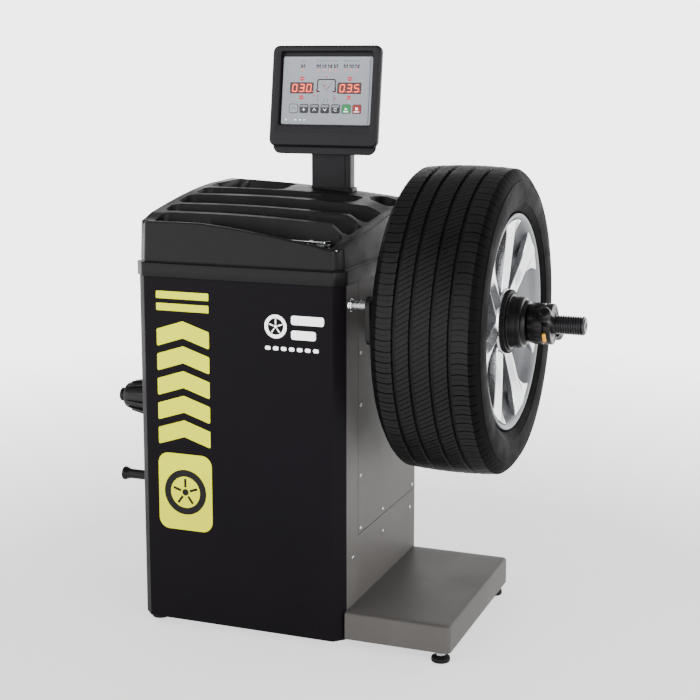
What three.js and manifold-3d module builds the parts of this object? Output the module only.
// Wheel balancer: cabinet with a belt-driven spindle, a weight tray, a display on a mast and a
// clamped car wheel. Millimetres, +Z up. The spindle axis runs along +X.
// The origin is on the floor, under the middle of the machine's length and on the spindle's plane.
import * as THREE from "three";
import { mergeVertices } from "three/addons/utils/BufferGeometryUtils.js";
import Module from "manifold-3d";

const wasm = await Module();
wasm.setup();

// ---- Driving dimensions. X = 0 is the cabinet's right side, Y = 0 its front, Z = 0 the floor. ----
const GAP = 0.3; // clearance between pieces that touch
const SHEET = 2; // cabinet sheet thickness
const CABINET = { width: 476.6, depth: 476.8, foot: 20, top: 779.7, chamfer: 22, wrap: 25 };
const RIM = { low: 780, high: 810, overhang: 4 };
const PLATFORM = { length: 231.7, front: 11.9, low: 25, high: 83.6, wall: 3, corner: 12 };
const AXIS = { y: 244.3, z: 687.6 };
const SHAFT_END = 450;
const WHEEL = { centre: 194, tyreRadius: 328.4, halfSection: 115, halfRim: 104, lipRadius: 230 };
const HUB = { back: 238.3, front: 281, boreRadius: 33.5, radius: 74 };
const STUB_RADIUS = 20;
const CUP = { back: 281.3, front: 329.7, radius: 68 };
const NUT = { back: 330, front: 383, radius: 44 };
const TAB = { centre: 370, thick: 8, length: 22, turn: -1.0 };
const LOBE = { centre: 376, reach: 80, turn: 1.117 };
const SPOKES = { count: 7, root: 24, waist: 16, end: 25, lean: 0.1, back: 20 };
const GAUGE = { y: 40, z: 738, rodRadius: 9, rodEnd: 40, armDepth: 14 };
const PEG = { y: 120, tip: -583, shank: 11, flare: 15.5, lowZ: 300, highZ: 485 };
const MOTOR = { z: 430, radius: 55 };
const PULLEY = { left: -366, right: -342, spindleRadius: 75, motorRadius: 25 };
const MAST = { left: -244, right: -147, front: 430, back: 464, low: 700, wall: 2 };
const POD = { centre: -201, front: 388, base: 1038.5, width: 268, height: 233, tilt: 8.2 };
const ORIGIN_X = (PEG.tip + SHAFT_END) / 2;

const COLOURS = {
  black: [0x1a171b, 0.45, 0],
  darkPlastic: [0x37363a, 0.55, 0],
  greyPaint: [0x85827f, 0.45, 0.3],
  steel: [0x9a9a9c, 0.35, 0.9],
  cast: [0x55565a, 0.6, 0.5],
  bright: [0xd0d2d4, 0.2, 1],
  silver: [0xbfc2c6, 0.3, 0.8],
  rubber: [0x1c1c1e, 0.8, 0],
  yellow: [0xdcaf3c, 0.4, 0],
  panel: [0xb9c0ca, 0.5, 0],
  red: [0xa01818, 0.3, 0],
  green: [0x1fa35a, 0.5, 0],
  brown: [0x8f3a34, 0.5, 0],
  greyKey: [0x6d7178, 0.5, 0],
  board: [0x1d5a34, 0.6, 0],
};

// ---- Geometry helpers ----
function solid(geometry) {
  const bare = (geometry.index ? geometry.toNonIndexed() : geometry).clone();
  for (const name of Object.keys(bare.attributes)) {
    if (name !== "position") bare.deleteAttribute(name);
  }
  const merged = mergeVertices(bare, 1e-3);
  return new wasm.Manifold(
    new wasm.Mesh({
      numProp: 3,
      vertProperties: merged.attributes.position.array,
      triVerts: new Uint32Array(merged.index.array),
    }),
  );
}

function geometryOf(body) {
  const mesh = body.getMesh();
  const geometry = new THREE.BufferGeometry();
  const places = new Float32Array(mesh.numVert * 3);
  for (let i = 0; i < mesh.numVert; i++) {
    const start = i * mesh.numProp;
    places.set(mesh.vertProperties.subarray(start, start + 3), i * 3);
  }
  geometry.setAttribute("position", new THREE.BufferAttribute(places, 3));
  geometry.setIndex(new THREE.BufferAttribute(new Uint32Array(mesh.triVerts), 1));
  return geometry;
}

const join = (...parts) => parts.map(solid).reduce((all, part) => all.add(part));
const cut = (body, ...tools) => tools.map(solid).reduce((left, tool) => left.subtract(tool), body);

function piece(name, shape, colour) {
  const flat = shape.isBufferGeometry ? shape : geometryOf(shape);
  const geometry = flat.index ? flat.toNonIndexed() : flat;
  geometry.computeVertexNormals();
  const [hex, roughness, metalness] = COLOURS[colour];
  const material = new THREE.MeshStandardMaterial({ color: hex, roughness, metalness });
  const mesh = new THREE.Mesh(geometry, material);
  mesh.name = name;
  return mesh;
}

function box(x0, x1, y0, y1, z0, z1) {
  return new THREE.BoxGeometry(x1 - x0, y1 - y0, z1 - z0).translate(
    (x0 + x1) / 2,
    (y0 + y1) / 2,
    (z0 + z1) / 2,
  );
}

// A turned piece: profile points are [place along the axis, radius], listed from low to high place
// on the outside and back again on the inside.
function turned(profile, segments = 32) {
  const points = profile.map(([along, radius]) => new THREE.Vector2(radius, along));
  return new THREE.LatheGeometry([...points, points[0]], segments);
}
const alongX = (geometry, y, z) => geometry.rotateZ(-Math.PI / 2).translate(0, y, z);
const alongY = (geometry, x, z) => geometry.translate(x, 0, z);
const alongZ = (geometry, x, y) => geometry.rotateX(Math.PI / 2).translate(x, y, 0);

function turnedX(profile, y, z, segments) {
  return alongX(turned(profile, segments), y, z);
}
const onSpindle = (profile, segments) => turnedX(profile, AXIS.y, AXIS.z, segments);

function ring(x0, x1, inner, outer) {
  return [[x0, inner], [x0, outer], [x1, outer], [x1, inner]];
}
const rod = (x0, x1, radius) => [[x0, 0], [x0, radius], [x1, radius], [x1, 0]];

function outline(points) {
  return new THREE.Shape(points.map(([a, b]) => new THREE.Vector2(a, b)));
}

function roundedRect(x0, x1, y0, y1, radius) {
  const shape = new THREE.Shape();
  shape.moveTo(x0 + radius, y0);
  shape.lineTo(x1 - radius, y0);
  shape.absarc(x1 - radius, y0 + radius, radius, -Math.PI / 2, 0);
  shape.lineTo(x1, y1 - radius);
  shape.absarc(x1 - radius, y1 - radius, radius, 0, Math.PI / 2);
  shape.lineTo(x0 + radius, y1);
  shape.absarc(x0 + radius, y1 - radius, radius, Math.PI / 2, Math.PI);
  shape.lineTo(x0, y0 + radius);
  shape.absarc(x0 + radius, y0 + radius, radius, Math.PI, 1.5 * Math.PI);
  return shape;
}

// Extrusions of a plan outline (XY) upwards, and of a side outline (YZ) along X.
function extrudeZ(shape, z0, z1, curveSegments = 4) {
  const options = { depth: z1 - z0, bevelEnabled: false, curveSegments };
  return new THREE.ExtrudeGeometry(shape, options).translate(0, 0, z0);
}
function extrudeX(shape, x0, x1, curveSegments = 4) {
  const flat = extrudeZ(shape, x0, x1, curveSegments);
  return flat.rotateX(Math.PI / 2).rotateZ(Math.PI / 2);
}

// A closed skin between two outlines with the same number of [x, y] points, counter-clockwise.
function loft(low, lowZ, high, highZ) {
  const count = low.length;
  const places = [];
  const push = ([x, y], z) => places.push(x, y, z);
  const fan = (points, z, up) => {
    for (let i = 1; i < count - 1; i++) {
      push(points[0], z);
      push(points[up ? i : i + 1], z);
      push(points[up ? i + 1 : i], z);
    }
  };
  fan(low, lowZ, false);
  fan(high, highZ, true);
  for (let i = 0; i < count; i++) {
    const j = (i + 1) % count;
    push(low[i], lowZ);
    push(low[j], lowZ);
    push(high[j], highZ);
    push(low[i], lowZ);
    push(high[j], highZ);
    push(high[i], highZ);
  }
  const geometry = new THREE.BufferGeometry();
  geometry.setAttribute("position", new THREE.Float32BufferAttribute(places, 3));
  return geometry;
}

function chamferedRect(x0, x1, y0, y1, corner) {
  return [
    [x0, y0 + corner],
    [x0 + corner, y0],
    [x1 - corner, y0],
    [x1, y0 + corner],
    [x1, y1],
    [x0, y1],
  ];
}

// ---- Cabinet sheets and chassis ----
function frontCover() {
  const { width, chamfer, wrap, foot, top } = CABINET;
  const inner = chamfer - SHEET * (Math.SQRT2 - 1);
  const shape = outline([
    [-width, wrap],
    [-width, chamfer],
    [-width + chamfer, 0],
    [-chamfer, 0],
    [0, chamfer],
    [0, wrap],
    [-SHEET, wrap],
    [-SHEET, inner + SHEET],
    [-inner - SHEET, SHEET],
    [-width + inner + SHEET, SHEET],
    [-width + SHEET, inner + SHEET],
    [-width + SHEET, wrap],
  ]);
  return piece("front_cover", extrudeZ(shape, foot, top), "black");
}

const SIDE = { front: CABINET.wrap + GAP, back: CABINET.depth - SHEET - GAP, seamY: 92.5, seamZ: 228 };

function rightSidePlate() {
  const { front, back, seamY, seamZ } = SIDE;
  const { foot, top } = CABINET;
  const corners = [[front, foot], [back, foot], [back, seamZ], [seamY, seamZ], [seamY, top], [front, top]];
  const shape = outline(corners);
  const gaugeHole = turnedX(rod(-SHEET - 1, 1, GAUGE.rodRadius + 1), GAUGE.y, GAUGE.z, 24);
  return piece("right_side_plate", cut(solid(extrudeX(shape, -SHEET, 0)), gaugeHole), "greyPaint");
}

function rightAccessPanel() {
  const plate = box(-SHEET, 0, SIDE.seamY + 1, SIDE.back, SIDE.seamZ + 1, CABINET.top);
  const hole = onSpindle(rod(-SHEET - 1, 1, 53), 28);
  return piece("right_access_panel", cut(solid(plate), hole), "greyPaint");
}

function leftSidePanel() {
  const { width, foot, top } = CABINET;
  const plate = box(-width, -width + SHEET, SIDE.front, SIDE.back, foot, top);
  return piece("left_side_panel", plate, "black");
}

const INLET = { x: -120, z: 150, switchZ: 186, pivotY: 470.7, offTilt: 8, flange: 3 };

function rearPanel() {
  const { width, depth, foot, top } = CABINET;
  const plate = box(-width, 0, depth - SHEET, depth, foot, top);
  const tools = [box(INLET.x - 15, INLET.x + 15, depth - 5, depth + 5, INLET.z - 24, INLET.z + 55)];
  for (let row = 0; row < 4; row++) {
    const z = 560 + row * 16;
    tools.push(box(-330, -230, depth - 5, depth + 5, z, z + 6));
  }
  return piece("rear_panel", cut(solid(plate), ...tools), "black");
}

function floorPan() {
  const [x0, x1, y0, y1] = [-474.3, -2.3, 30, 474.4];
  const [low, high, wall] = [25, 62, 3];
  const pan = cut(
    solid(box(x0, x1, y0, y1, low, high)),
    box(x0 + wall, x1 - wall, y0 + wall, y1 - wall, low + wall, high + 1),
  );
  return piece("floor_pan", pan, "steel");
}

function chassisColumn() {
  const [x0, x1, y0, y1, wall] = [-220, -80, 184, 304, 5];
  const shape = outline([
    [x0, y0],
    [x1, y0],
    [x1, y1],
    [x1 - wall, y1],
    [x1 - wall, y0 + wall],
    [x0 + wall, y0 + wall],
    [x0 + wall, y1],
    [x0, y1],
  ]);
  return piece("chassis_column", extrudeZ(shape, 28.3, 579.7), "steel");
}

const SUPPORTS = [-270, -70]; // places along the spindle of its two elastic supports
const HEAD = { low: 580, high: 590, front: 170, back: 334, post: 322 };

function headPlate() {
  const plate = box(-330, -30, HEAD.front, HEAD.back, HEAD.low, HEAD.high);
  const posts = SUPPORTS.map((x) => box(x - 28, x + 28, HEAD.post, HEAD.back, HEAD.high - 1, AXIS.z + 26));
  return piece("head_plate", join(plate, ...posts), "steel");
}

function platformPan() {
  const { length, front, low, high, wall, corner } = PLATFORM;
  const back = SIDE.back;
  const shell = cut(
    solid(extrudeZ(roundedRect(GAP, length, front, back, corner), low, high)),
    box(GAP + wall, length - wall, front + wall, back - wall, low - 1, high - wall),
  );
  const inside = length - wall / 2;
  const cornerPlates = [
    box(170, inside, front + wall / 2, 62, low, low + wall),
    box(170, inside, back - 50, back - wall / 2, low, low + wall),
  ];
  const pan = cornerPlates.map(solid).reduce((all, plate) => all.add(plate), shell);
  return piece("platform_pan", pan, "greyPaint");
}

function foot(name, x, y) {
  const profile = [[0, 0], [0, 18], [2, 20], [10, 20], [14, 13], [17, 8], [24.7, 8], [24.7, 0]];
  return piece(name, alongZ(turned(profile, 16), x, y), "rubber");
}

function feet() {
  const [left, right, front, back] = [-457, 206, 34, 452];
  return [
    foot("foot_front_left", left, front + 16),
    foot("foot_rear_left", left + 4, back),
    foot("foot_front_right", right, front),
    foot("foot_rear_right", right, back - 4),
  ];
}

// ---- Spindle head ----
function spindleHousing() {
  const [left, right, outer, bore, seat] = [-310, 8, 50, 32, 36.2];
  const width = 17.4;
  const tube = onSpindle([
    [left, seat],
    [left, outer],
    [-20, outer],
    [-16, 47],
    [right, 47],
    [right, seat],
    [right - width, seat],
    [right - width, bore],
    [left + width, bore],
    [left + width, seat],
  ], 28);
  let body = solid(tube);
  for (const x of SUPPORTS) {
    const pads = [
      box(x - 25, x + 25, AXIS.y - 28, AXIS.y + 28, 632, AXIS.z - 40),
      box(x - 20, x + 20, AXIS.y + 40, 306, AXIS.z - 18, AXIS.z + 18),
    ];
    for (const pad of pads) body = body.add(solid(pad));
  }
  return piece("spindle_housing", body, "cast");
}

function bearing(name, left) {
  const [bore, inner, outer] = [17.8, 24, 30];
  const width = 17;
  const profile = [
    [left, bore],
    [left, inner],
    [left + 2, inner],
    [left + 2, outer],
    [left, outer],
    [left, 36],
    [left + width, 36],
    [left + width, outer],
    [left + width - 2, outer],
    [left + width - 2, inner],
    [left + width, inner],
    [left + width, bore],
  ];
  return piece(name, onSpindle(profile, 28), "steel");
}

function flexure(name, x) {
  const [low, high] = [HEAD.high + GAP, 632 - GAP];
  const shape = outline([
    [x - 20, low],
    [x + 20, low],
    [x + 20, low + 4],
    [x + 1.5, low + 4],
    [x + 1.5, high - 4],
    [x + 20, high - 4],
    [x + 20, high],
    [x - 20, high],
    [x - 20, high - 4],
    [x - 1.5, high - 4],
    [x - 1.5, low + 4],
    [x - 20, low + 4],
  ]);
  const [front, back] = [AXIS.y - 26, AXIS.y + 26];
  const blade = extrudeZ(shape, -back, -front).rotateX(Math.PI / 2);
  return piece(name, blade, "steel");
}

function forceSensor(name, x) {
  const [near, far] = [306 + GAP, HEAD.post - GAP];
  const profile = [[near, 0], [near, 8], [near + 3, 14], [far - 3, 14], [far, 8], [far, 0]];
  return piece(name, alongY(turned(profile, 16), x, AXIS.z), "bright");
}

// ---- Spindle rotor ----
function spindleShaft() {
  const profile = [
    [-390, 0],
    [-390, 14],
    [-389, 15],
    [-312, 15],
    [-312, 17.5],
    [9, 17.5],
    [9, 42],
    [24, 42],
    [34, 30],
    [198, 30],
    [198, STUB_RADIUS],
    [SHAFT_END - 6, STUB_RADIUS],
    [SHAFT_END - 3, 17],
    [SHAFT_END, 16],
    [SHAFT_END, 0],
  ];
  return piece("spindle_shaft", onSpindle(profile, 24), "steel");
}

function backFlange() {
  const face = HUB.back - GAP;
  const profile = [
    [184, 30.4],
    [184, 46],
    [208, 70],
    [214, 95],
    [face, 95],
    [face, 56],
    [201, 56],
    [201, 30.4],
  ];
  return piece("back_flange", onSpindle(profile, 32), "cast");
}

function centringCone() {
  const profile = [[214, 20.5], [214, 45.6], [218, 45.6], [250, 26], [250, 20.5]];
  return piece("centring_cone", onSpindle(profile, 24), "steel");
}

function coneSpring() {
  const [start, end, turns, radius, wire] = [203.6, 211.4, 2, 40, 1.8];
  class Helix extends THREE.Curve {
    getPoint(t, target = new THREE.Vector3()) {
      const angle = 2 * Math.PI * turns * t;
      return target.set(start + (end - start) * t, radius * Math.cos(angle), radius * Math.sin(angle));
    }
  }
  const section = new THREE.Shape().absarc(0, 0, wire, 0, 2 * Math.PI);
  const options = { steps: 14 * turns, extrudePath: new Helix(), curveSegments: 4, bevelEnabled: false };
  const coil = new THREE.ExtrudeGeometry(section, options).translate(0, AXIS.y, AXIS.z);
  return piece("cone_spring", coil, "steel");
}

function spindlePulley() {
  const { left, right, spindleRadius } = PULLEY;
  const middle = (left + right) / 2;
  const profile = [
    [left, 15.4],
    [left, 26],
    [middle - 4, 28],
    [middle - 4, 62],
    [left, 64],
    [left, spindleRadius],
    [right, spindleRadius],
    [right, 64],
    [middle + 4, 62],
    [middle + 4, 28],
    [right + 4, 26],
    [right + 4, 15.4],
  ];
  return piece("spindle_pulley", onSpindle(profile, 32), "cast");
}

function encoderDisc() {
  const disc = solid(onSpindle(ring(-384, -382, 15.4, 55), 32));
  const slots = [];
  for (let i = 0; i < 8; i++) {
    const slot = box(-390, -375, -2.5, 2.5, 44, 50).rotateX((i * Math.PI) / 4);
    slots.push(slot.translate(0, AXIS.y, AXIS.z));
  }
  return piece("encoder_disc", cut(disc, ...slots), "steel");
}

// ---- Wheel ----
function mirrored(profile) {
  const { centre } = WHEEL;
  const low = profile.map(([offset, radius]) => [centre - offset, radius]);
  const high = profile.map(([offset, radius]) => [centre + offset, radius]);
  return { low, high: high.reverse() };
}

function tyre() {
  const { halfSection, tyreRadius } = WHEEL;
  const [grooveDepth, grooveHalf] = [7, 4];
  const side = [
    [93.7, 219.6],
    [93.7, 230.8],
    [101, 236],
    [halfSection - 3, 254],
    [halfSection, 280],
    [112, 300],
    [104, 315],
    [96, 322],
  ];
  const tread = [];
  for (const middle of [-57, -21, 21, 57]) {
    const radius = tyreRadius - (Math.abs(middle) / 96) ** 2 * 5;
    tread.push([middle - grooveHalf - 1, radius]);
    tread.push([middle - grooveHalf + 1, radius - grooveDepth]);
    tread.push([middle + grooveHalf - 1, radius - grooveDepth]);
    tread.push([middle + grooveHalf + 1, radius]);
  }
  const inner = [[84, 313], [98, 300], [102, 280], [96, 260], [82, 242], [74, 230], [72, 219.6]];
  const outside = mirrored(side);
  const inside = mirrored(inner);
  const profile = [
    ...outside.low,
    ...tread.map(([offset, radius]) => [WHEEL.centre + offset, radius]),
    ...outside.high,
    ...inside.high,
    ...inside.low,
  ];
  return piece("tyre", onSpindle(profile, 40), "rubber");
}

function rimBarrel() {
  const { centre, halfRim, lipRadius } = WHEEL;
  return [
    [centre - halfRim, 223],
    [centre - halfRim, 228],
    [centre - halfRim + 5, lipRadius],
    [centre - halfRim + 9, 227],
    [centre - halfRim + 10, 219],
    [120, 217],
    [134, 193],
    [244, 193],
    [266, 217],
    [centre + halfRim - 10, 219],
    [centre + halfRim - 9, 227],
    [centre + halfRim - 5, lipRadius],
    [centre + halfRim, 228],
    [centre + halfRim, 223],
    [291, 212],
    [276, 208],
    [250, 186],
    [132, 186],
    [118, 209],
    [102, 212],
  ];
}

// One spoke along +Y before it is turned into place, broad at the hub and at the barrel.
function spoke(turn) {
  const { root, waist, end, lean, back } = SPOKES;
  const plan = (inset) => [
    [-root + inset, 60],
    [root - inset, 60],
    [waist - inset, 135],
    [end - inset, 211],
    [-end + inset, 211],
    [-waist + inset, 135],
  ];
  const shape = loft(plan(0), HUB.back + back, plan(5), HUB.front - 2);
  const leaning = new THREE.Matrix4().makeShear(0, 0, 0, lean, 0, 0);
  shape.applyMatrix4(leaning).translate(0, 0, -lean * HUB.radius);
  shape.rotateY(Math.PI / 2).rotateX(turn);
  return shape.translate(0, AXIS.y, AXIS.z);
}

function wheelRim() {
  let body = solid(onSpindle(rimBarrel(), 40));
  body = body.add(solid(onSpindle(ring(HUB.back, HUB.front, HUB.boreRadius, HUB.radius), 28)));
  for (let i = 0; i < SPOKES.count; i++) {
    body = body.add(solid(spoke(Math.PI / 2 + (i * 2 * Math.PI) / SPOKES.count)));
  }
  return piece("wheel_rim", body, "silver");
}

// ---- Clamping set ----
function pressureCup() {
  const { back, front, radius } = CUP;
  const profile = [
    [back, radius - 10],
    [back, radius],
    [back + 9, radius],
    [back + 11, 55],
    [back + 39, 55],
    [back + 41, 47],
    [front, 45],
    [front, 20.8],
    [back + 36, 20.8],
    [back + 32, 46],
    [back + 12, 50],
  ];
  return piece("pressure_cup", onSpindle(profile, 32), "rubber");
}

const TAB_ANGLES = [TAB.turn, TAB.turn + Math.PI];

function quickNut() {
  const { back, front, radius } = NUT;
  const profile = [
    [back, 21],
    [back, 38],
    [back + 6, radius],
    [front - 3, radius],
    [front, 41],
    [front, 21],
  ];
  let body = solid(onSpindle(profile, 32));
  for (const turn of [0, Math.PI]) {
    const lobe = [[36, 0], [36, 12], [56, 12], [64, 15], [74, 14], [LOBE.reach, 7], [LOBE.reach, 0]];
    const knob = alongZ(turned(lobe, 16), 0, 0);
    knob.rotateX(turn + LOBE.turn).translate(LOBE.centre, AXIS.y, AXIS.z);
    body = body.add(solid(knob));
  }
  const half = TAB.thick / 2 + 0.5;
  const wide = TAB.length / 2 + 0.5;
  const pockets = TAB_ANGLES.map((turn) =>
    box(TAB.centre - half, TAB.centre + half, -wide, wide, 30, 60).rotateX(turn).translate(0, AXIS.y, AXIS.z),
  );
  return piece("quick_nut", cut(body, ...pockets), "black");
}

function releaseTab(name, turn) {
  const { centre, thick, length } = TAB;
  const tab = box(centre - thick / 2, centre + thick / 2, -length / 2, length / 2, 34, 46.5);
  return piece(name, tab.rotateX(turn).translate(0, AXIS.y, AXIS.z), "yellow");
}

// ---- Drive ----
function motorBody() {
  const { z, radius } = MOTOR;
  const can = turnedX([
    [-332, 8],
    [-332, 22],
    [-326, 24],
    [-326, radius - 6],
    [-318, radius],
    [-226, radius],
    [-226, 0],
    [-300, 0],
    [-300, 8],
  ], AXIS.y, z, 28);
  const flange = box(-230, -220.3, AXIS.y - 58, AXIS.y + 58, z - 58, z + 58);
  return piece("motor_body", join(can, flange), "cast");
}

function motorRotor() {
  const { left, right, motorRadius } = PULLEY;
  const profile = [
    [left - 4, 0],
    [left - 4, 7],
    [left, 7],
    [left, motorRadius],
    [right, motorRadius],
    [right, 7],
    [-304, 7],
    [-304, 0],
  ];
  return piece("motor_rotor", turnedX(profile, AXIS.y, MOTOR.z, 24), "steel");
}

// An open-belt path round two pulleys, as a closed outline in (Y, Z).
function beltLoop(Kind, extra) {
  const big = PULLEY.spindleRadius + extra;
  const small = PULLEY.motorRadius + extra;
  const wrap = Math.asin((big - small) / (AXIS.z - MOTOR.z));
  const path = new Kind();
  path.absarc(AXIS.y, AXIS.z, big, -wrap, Math.PI + wrap);
  path.absarc(AXIS.y, MOTOR.z, small, Math.PI + wrap, 2 * Math.PI - wrap);
  path.closePath();
  return path;
}

function driveBelt() {
  const [inner, outer] = [0.5, 4];
  const loop = beltLoop(THREE.Shape, outer);
  loop.holes.push(beltLoop(THREE.Path, inner));
  return piece("drive_belt", extrudeX(loop, PULLEY.left + 2, PULLEY.right - 2, 14), "rubber");
}

// ---- Electrics ----
function powerBoard() {
  const back = SIDE.back - 4;
  const board = join(
    box(-440, -300, back - 2, back, 260, 460),
    box(-430, -380, back - 42, back - 1, 380, 440),
    box(-360, -310, back - 26, back - 1, 290, 340),
  );
  return piece("power_board", board, "board");
}

function mainsInlet() {
  const { x, z, switchZ } = INLET;
  const [inside, outside] = [CABINET.depth - 30, CABINET.depth - 0.2];
  const sheetInside = CABINET.depth - SHEET - GAP;
  const body = join(
    box(x - 14, x + 14, inside, outside, z - 22, z + 52),
    box(x - 20, x + 20, sheetInside - INLET.flange, sheetInside, z - 30, z + 60),
  );
  const socket = box(x - 10, x + 10, outside - 18, outside + 9, z - 14, z + 14);
  const rockerWell = box(x - 9, x + 9, outside - 14, outside + 9, switchZ - 13.5, switchZ + 13.5);
  return piece("mains_inlet", cut(body, socket, rockerWell), "darkPlastic");
}

function powerRocker() {
  const { x, switchZ, pivotY, offTilt } = INLET;
  const shape = outline([
    [-2, -4],
    [5, -12],
    [8.5, -11],
    [6, 0],
    [8.5, 11],
    [5, 12],
    [-2, 4],
  ]);
  const rocker = extrudeX(shape, x - 8, x + 8).rotateX(THREE.MathUtils.degToRad(-offTilt));
  return piece("power_rocker", rocker.translate(0, pivotY, switchZ), "black");
}

// ---- Distance gauge ----
function gaugeParts() {
  const { y, z, rodRadius, rodEnd, armDepth } = GAUGE;
  const bush = turnedX(ring(GAP, 9, rodRadius + 0.3, 13), y, z, 24);
  const shaft = turnedX(rod(-150, rodEnd, rodRadius), y, z, 20);
  const shape = new THREE.Shape();
  shape.absarc(y, z, 20, 0, Math.PI);
  shape.lineTo(y - 15, z - 64);
  shape.absarc(y, z - 66, 15, Math.PI, 2 * Math.PI);
  const arm = extrudeX(shape, rodEnd + GAP, rodEnd + armDepth, 8);
  return [
    piece("gauge_bush", bush, "bright"),
    piece("gauge_rod", shaft, "steel"),
    piece("gauge_arm", arm, "black"),
  ];
}

// ---- Weight tray ----
const TRAY = { inset: 2.5, topInset: 6, wall: 4, frontLip: 12 };

const ramp = (value, low, high) => Math.min(1, Math.max(0, (value - low) / (high - low)));
const mix = (a, b, share) => a + (b - a) * share;
const smooth = (share) => share * share * (3 - 2 * share);

// Height of the tray's upper skin: it climbs to the back, and falls to the right in an S curve.
function trayHeight(x, y) {
  const across = ramp(x, -CABINET.width, 0);
  const left = 893 + 58 * Math.sin(((Math.PI / 2) * Math.min(y, 440)) / 440);
  const right = 850 + 0.155 * y;
  const front = 897 - 48 * ramp(across, 0.3, 1) ** 1.3;
  const ridgeEnd = mix(890, 918, ramp(y, 80, 440));
  const arch = 6 * Math.sin(Math.PI * across);
  const ridges = mix(left + 3, ridgeEnd, across) + arch;
  const inner = mix(front, ridges, smooth(ramp(y, TRAY.frontLip, 70)));
  return mix(inner, right, ramp(x, -38, -8));
}

// A solid from a flat base up to the tray's upper skin.
function traySkin() {
  const xs = [-490, -478, -440, -400, -350, -300, -250, -200, -150, -110, -75, -55, -38, -28, -18, -8, 4, 12];
  const ys = [-12, 0, 12, 24, 40, 56, 70, 100, 140, 190, 240, 290, 340, 390, 440, 490];
  const base = 700;
  const places = [];
  const top = (i, j) => [xs[i], ys[j], trayHeight(xs[i], ys[j])];
  const low = (i, j) => [xs[i], ys[j], base];
  const quad = (a, b, c, d) => places.push(...a, ...b, ...c, ...a, ...c, ...d);
  const [m, n] = [xs.length - 1, ys.length - 1];
  for (let i = 0; i < m; i++) {
    for (let j = 0; j < n; j++) {
      quad(top(i, j), top(i + 1, j), top(i + 1, j + 1), top(i, j + 1));
      quad(low(i, j), low(i, j + 1), low(i + 1, j + 1), low(i + 1, j));
    }
    quad(low(i, 0), low(i + 1, 0), top(i + 1, 0), top(i, 0));
    quad(low(i + 1, n), low(i, n), top(i, n), top(i + 1, n));
  }
  for (let j = 0; j < n; j++) {
    quad(low(m, j), low(m, j + 1), top(m, j + 1), top(m, j));
    quad(low(0, j + 1), low(0, j), top(0, j), top(0, j + 1));
  }
  const geometry = new THREE.BufferGeometry();
  geometry.setAttribute("position", new THREE.Float32BufferAttribute(places, 3));
  return geometry;
}

// Troughs: the front and back edge at the left end, then at the right end, with the floor height.
const TROUGHS = [
  { left: -440, right: -48, atLeft: [16, 70], atRight: [16, 92], floor: 852 },
  { left: -448, right: -42, atLeft: [84, 136], atRight: [106, 196], floor: 866 },
  { left: -450, right: -38, atLeft: [149, 219], atRight: [214, 318], floor: 878 },
  { left: -450, right: -98, atLeft: [233, 298], atRight: [322, 398], floor: 888 },
  { left: -450, right: -285, atLeft: [312, 372], atRight: [352, 412], floor: 902 },
];
const CUP_RECESS = { x: -52, y: 402, radius: 34, floor: 878 };

function roundedQuad(corners, radius) {
  const shape = new THREE.Shape();
  const count = corners.length;
  corners.forEach((corner, i) => {
    const before = new THREE.Vector2(...corners[(i + count - 1) % count]);
    const here = new THREE.Vector2(...corner);
    const after = new THREE.Vector2(...corners[(i + 1) % count]);
    const enter = here.clone().add(before.sub(here).setLength(radius));
    const leave = here.clone().add(after.sub(here).setLength(radius));
    if (i) shape.lineTo(enter.x, enter.y);
    else shape.moveTo(enter.x, enter.y);
    shape.quadraticCurveTo(here.x, here.y, leave.x, leave.y);
  });
  return shape;
}

function troughSpace({ left, right, atLeft, atRight, floor }) {
  const corners = [[left, atLeft[0]], [right, atRight[0]], [right, atRight[1]], [left, atLeft[1]]];
  return extrudeZ(roundedQuad(corners, 20), floor, 1000, 3);
}

function weightTray() {
  const { width, depth, chamfer } = CABINET;
  const outer = (grow) => chamferedRect(-width - grow, grow, -grow, depth + grow, chamfer + grow / 2);
  const { inset, topInset, wall } = TRAY;
  const upper = loft(outer(-inset), RIM.high - 1, outer(-topInset - 2), 960);
  let body = solid(upper).intersect(solid(traySkin()));
  body = body.add(solid(loft(outer(RIM.overhang), RIM.low, outer(RIM.overhang), RIM.high)));
  const under = [TROUGHS[0].floor, TROUGHS[1].floor, TROUGHS[2].floor].map((floor, i) => {
    const front = [0, 106, 214][i];
    const room = outer(-topInset - wall - 6);
    const side = room.map(([x, y]) => [x, Math.max(y, front)]);
    return loft(side, RIM.low - 1, side, floor - wall);
  });
  body = cut(body, ...under, ...TROUGHS.map(troughSpace));
  const { x, y, radius, floor } = CUP_RECESS;
  const recess = alongZ(turned([[floor, 0], [floor, radius], [1000, radius], [1000, 0]], 28), x, y);
  const slot = box(MAST.left - 0.5, MAST.right + 0.5, MAST.front - 0.5, MAST.back + 0.5, 700, 1000);
  return piece("weight_tray", cut(body, recess, slot), "darkPlastic");
}

function mast() {
  const { left, right, front, back, low, wall } = MAST;
  const high = POD.base + 150;
  const tube = cut(
    solid(box(left, right, front, back, low, high)),
    box(left + wall, right - wall, front + wall, back - wall, low - 1, high + 1),
  );
  return piece("mast", tube, "darkPlastic");
}

// ---- Weight pliers, lying in the front trough ----
const PLIERS = { x: -92, y: 60, thick: 6, spread: 5, turn: 5 };

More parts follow.
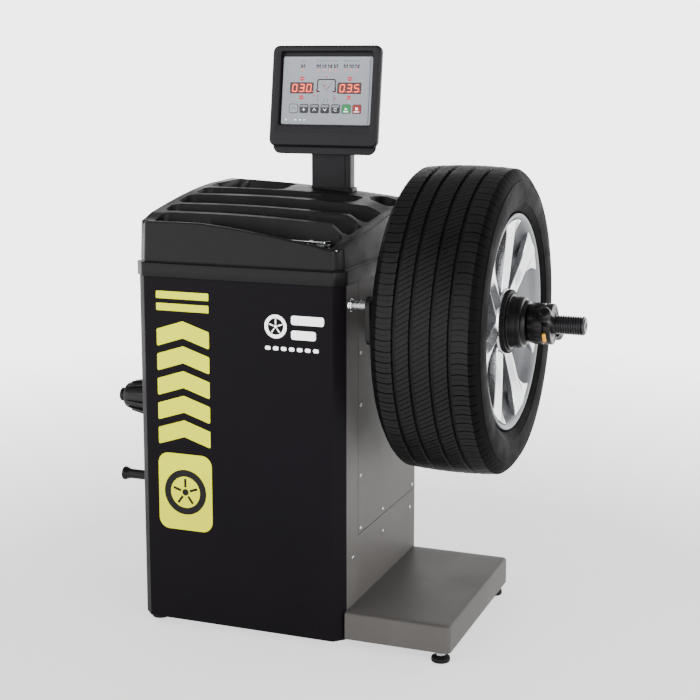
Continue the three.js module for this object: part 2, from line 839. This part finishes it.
function plierHalf(name, side) {
  const floor = TROUGHS[0].floor + GAP;
  const low = floor + (side > 0 ? PLIERS.thick + GAP : 0);
  const high = low + PLIERS.thick;
  const shape = outline([
    [10, 12],
    [34, 10],
    [42, -6],
    [36, -8],
    [28, 0],
    [6, -6],
    [-10, -12],
    [-60, -14],
    [-150, -10],
    [-150, -3],
    [-60, -5],
    [-12, 8],
  ]);
  let body = solid(extrudeZ(shape, low, high));
  const rivet = [PLIERS.thick * 2 + 2, 3.5];
  const pin = [[floor, 0], [floor, rivet[1]], [floor + rivet[0], rivet[1]], [floor + rivet[0], 0]];
  const hole = [[floor - 5, 0], [floor - 5, 3.9], [floor + 30, 3.9], [floor + 30, 0]];
  if (side > 0) body = cut(body, alongZ(turned(hole, 16), 0, 0));
  else body = body.add(solid(alongZ(turned(pin, 16), 0, 0)));
  const geometry = geometryOf(body);
  if (side > 0) geometry.rotateX(Math.PI).translate(0, 0, low + high);
  geometry.rotateZ(THREE.MathUtils.degToRad(PLIERS.turn - side * PLIERS.spread));
  return piece(name, geometry.translate(PLIERS.x, PLIERS.y, 0), "bright");
}

// ---- Display pod. Its local frame: X to the right, Y backwards, Z up the face. ----
const PANEL = { halfWidth: 110, low: 51, high: 208, front: 9, thick: 3 };
const KEYS = { count: 7, pitch: 26.1, width: 20, height: 19.5, middle: 88 };
const WINDOWS = [
  { name: "led_window_left", x: -60 },
  { name: "led_window_right", x: 57.5 },
];
const WINDOW = { width: 56, low: 124, high: 147 };

function bezel() {
  const { width, height } = POD;
  const half = width / 2;
  const depth = 14;
  const face = (shape, y0, y1) => extrudeZ(shape, -y1, -y0, 4).rotateX(Math.PI / 2);
  const frame = solid(face(roundedRect(-half, half, 0, height, 16), 0, depth));
  const { halfWidth, low, high, front } = PANEL;
  const window = face(roundedRect(-halfWidth + 3, halfWidth - 3, low + 3, high - 3, 6), -1, depth + 1);
  const seat = box(-halfWidth - 1, halfWidth + 1, front - GAP, depth + 1, low - 1, high + 1);
  return piece("display_bezel", cut(frame, window, seat), "darkPlastic");
}

function podShell() {
  const near = 14.3;
  const far = 82;
  const [wide, narrow] = [128, 76];
  const [chin, brow, rise] = [-16, POD.height - 6, 30];
  const wall = 3;
  const skin = (grow, from, to) => {
    const ringOf = (half, low, high) => [[-half, low], [half, low], [half, high], [-half, high]];
    const front = ringOf(wide + grow, chin - grow, brow + grow);
    const back = ringOf(narrow + grow, chin + rise - grow, brow - rise + grow);
    return loft(back, -to, front, -from).rotateX(Math.PI / 2);
  };
  const shell = cut(solid(skin(0, near, far)), skin(-wall, near - 1, far - wall));
  return shell;
}

function displayShell(toPod) {
  const inPod = toPod.clone().invert();
  const { left, right, front, back } = MAST;
  const opening = box(left - 2, right + 2, front - 2, back + 2, 900, POD.base + 154);
  return piece("display_shell", cut(podShell(), opening.applyMatrix4(inPod)), "darkPlastic");
}

function keypad() {
  const { halfWidth, low, high, front, thick } = PANEL;
  const plate = solid(box(-halfWidth, halfWidth, front, front + thick, low, high));
  const holes = [];
  for (let i = 0; i < KEYS.count; i++) {
    const [x, halfW, halfH] = [keyPlace(i), KEYS.width / 2 + GAP, KEYS.height / 2 + GAP];
    holes.push(box(x - halfW, x + halfW, 0, 30, KEYS.middle - halfH, KEYS.middle + halfH));
  }
  for (const { x } of WINDOWS) {
    const half = WINDOW.width / 2 + GAP;
    holes.push(box(x - half, x + half, 0, 30, WINDOW.low - GAP, WINDOW.high + GAP));
  }
  return piece("keypad_panel", cut(plate, ...holes), "panel");
}

const keyPlace = (index) => (index - (KEYS.count - 1) / 2) * KEYS.pitch;

function keypadParts() {
  const colours = ["panel", "greyKey", "greyKey", "greyKey", "greyKey", "green", "brown"];
  const { front, thick } = PANEL;
  const keys = colours.map((colour, i) => {
    const x = keyPlace(i);
    const shape = roundedRect(x - KEYS.width / 2, x + KEYS.width / 2, -KEYS.height / 2, KEYS.height / 2, 2.5);
    const key = extrudeZ(shape, -front - thick, -front + 1.2, 2).rotateX(Math.PI / 2);
    return piece(`button_${i + 1}`, key.translate(0, 0, KEYS.middle), colour);
  });
  const windows = WINDOWS.map(({ name, x }) => {
    const half = WINDOW.width / 2;
    return piece(name, box(x - half, x + half, front - 0.5, front + thick, WINDOW.low, WINDOW.high), "red");
  });
  return [...keys, ...windows];
}

function displayPod() {
  const pod = new THREE.Group();
  pod.rotation.x = THREE.MathUtils.degToRad(-POD.tilt);
  pod.position.set(POD.centre, POD.front, POD.base);
  pod.updateMatrix();
  pod.add(bezel(), displayShell(pod.matrix), keypad(), ...keypadParts());
  return pod;
}

// ---- Storage pegs on the left side ----
function storagePeg(name, z) {
  const base = -CABINET.width - GAP;
  const { tip, shank, flare, y } = PEG;
  const profile = [
    [tip, 0],
    [tip, flare - 2],
    [tip + 2, flare],
    [tip + 8, flare],
    [tip + 24, shank + 1],
    [base - 4, shank],
    [base - 4, 18],
    [base, 18],
    [base, 0],
  ];
  return piece(name, turnedX(profile, y, z, 20), "black");
}

function storedCup() {
  const [near, far, bore] = [-CABINET.width - 5, -566, 16.2];
  const profile = [
    [far, bore],
    [far, 20],
    [far + 12, 22],
    [far + 20, 40],
    [far + 34, 52],
    [near, 52.5],
    [near, 46],
    [far + 38, 44],
    [far + 28, 34],
    [far + 26, bore],
  ];
  return piece("stored_cup", turnedX(profile, PEG.y, PEG.highZ, 28), "darkPlastic");
}

// ---- Assembly ----
const machine = new THREE.Group();
machine.position.set(-ORIGIN_X, -AXIS.y, 0);
machine.add(
  frontCover(),
  rightSidePlate(),
  rightAccessPanel(),
  leftSidePanel(),
  rearPanel(),
  floorPan(),
  chassisColumn(),
  headPlate(),
  platformPan(),
  ...feet(),
  spindleHousing(),
  bearing("bearing_left", -310 + 0.2),
  bearing("bearing_right", 8 - 17.2),
  flexure("flexure_left", SUPPORTS[0]),
  flexure("flexure_right", SUPPORTS[1]),
  forceSensor("force_sensor_left", SUPPORTS[0]),
  forceSensor("force_sensor_right", SUPPORTS[1]),
  spindleShaft(),
  backFlange(),
  centringCone(),
  coneSpring(),
  spindlePulley(),
  encoderDisc(),
  tyre(),
  wheelRim(),
  pressureCup(),
  quickNut(),
  releaseTab("release_tab_a", TAB_ANGLES[0]),
  releaseTab("release_tab_b", TAB_ANGLES[1]),
  motorBody(),
  motorRotor(),
  driveBelt(),
  powerBoard(),
  mainsInlet(),
  powerRocker(),
  ...gaugeParts(),
  weightTray(),
  mast(),
  plierHalf("plier_lower", -1),
  plierHalf("plier_upper", 1),
  displayPod(),
  storagePeg("peg_upper", PEG.highZ),
  storagePeg("peg_lower", PEG.lowZ),
  storedCup(),
);

const balancer = new THREE.Group();
balancer.add(machine);

export default balancer;
